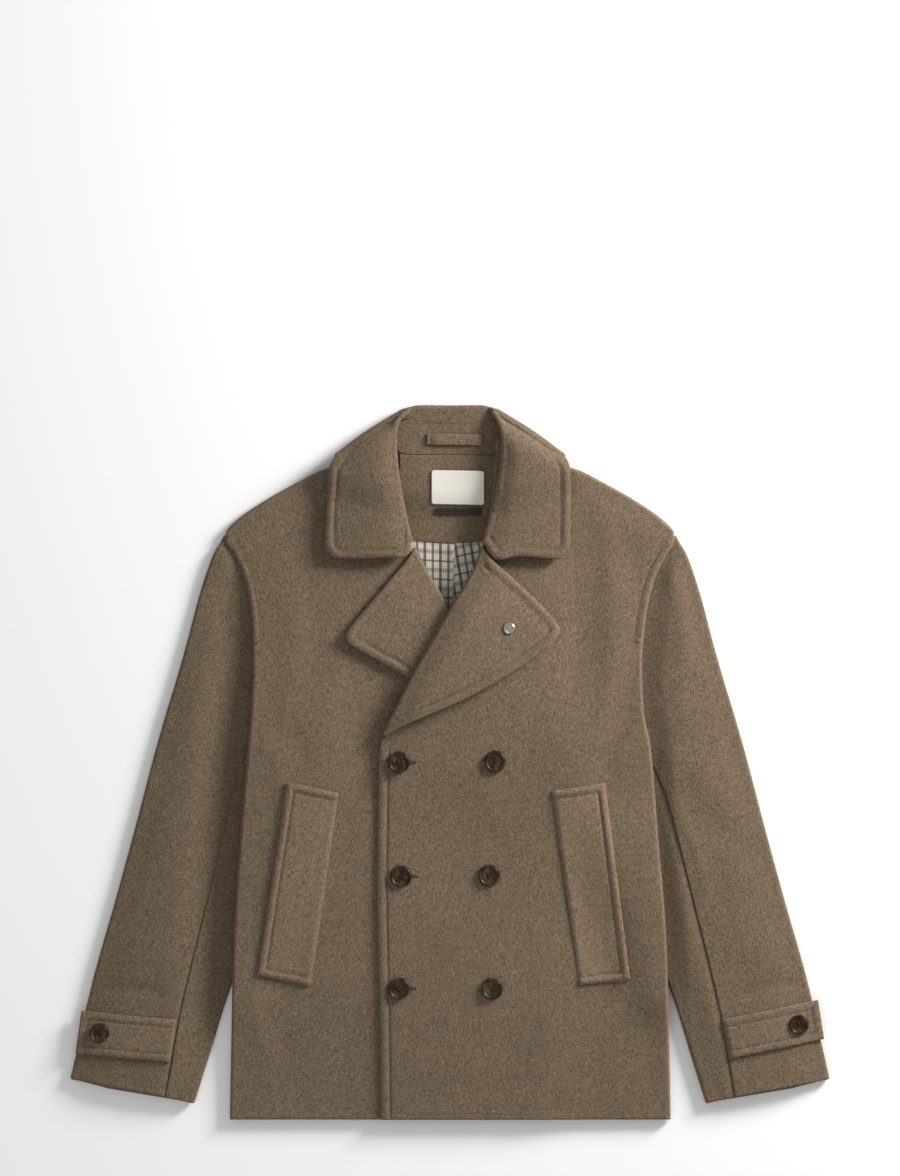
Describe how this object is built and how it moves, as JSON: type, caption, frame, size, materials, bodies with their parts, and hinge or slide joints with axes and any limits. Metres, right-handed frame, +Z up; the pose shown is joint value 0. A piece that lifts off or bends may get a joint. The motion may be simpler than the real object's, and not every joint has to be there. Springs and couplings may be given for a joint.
{
  "type": "pea coat",
  "caption": "Double-breasted wool pea coat laid flat on its back, with wide lapels, slanted welt pockets, buttoned cuff tabs and a checked lining.",
  "frame": {"origin": "middle of the coat's box, on the surface that it lies on", "axes": "+X towards the wearer's left, +Y from the hem to the collar, +Z up from the surface"},
  "size_m": [0.874, 0.8223, 0.0308],
  "materials": {
    "wool": "brown melton wool, brushed and slightly mottled",
    "facing_wool": "the same wool, smoother",
    "lining": "pale ribbed lining with a fine dark check",
    "label": "bare woven cloth",
    "label_dark": "bare dark tape",
    "horn": "dark mottled horn, polished",
    "metal": "polished nickel"
  },
  "bodies": {
    "root": {"back": "wool", "collar": "wool", "collar_stand": "wool", "hanger_loop": "wool", "front_right": "wool", "lapel_right": "wool", "sleeve_upper_right": "wool", "sleeve_under_right": "wool", "cuff_strap_right": "wool", "pocket_welt_right": "wool", "front_left": "wool", "lapel_left": "wool", "sleeve_upper_left": "wool", "sleeve_under_left": "wool", "cuff_strap_left": "wool", "pocket_welt_left": "wool", "back_neck_facing": "facing_wool", "lining": "lining", "label_plain": "label", "label_small": "label_dark", "button_front_1": "horn", "button_front_2": "horn", "button_front_3": "horn", "button_front_4": "horn", "button_front_5": "horn", "button_front_6": "horn", "button_cuff_right": "horn", "button_cuff_left": "horn", "lapel_stud": "metal"}
  },
  "joints": []
}
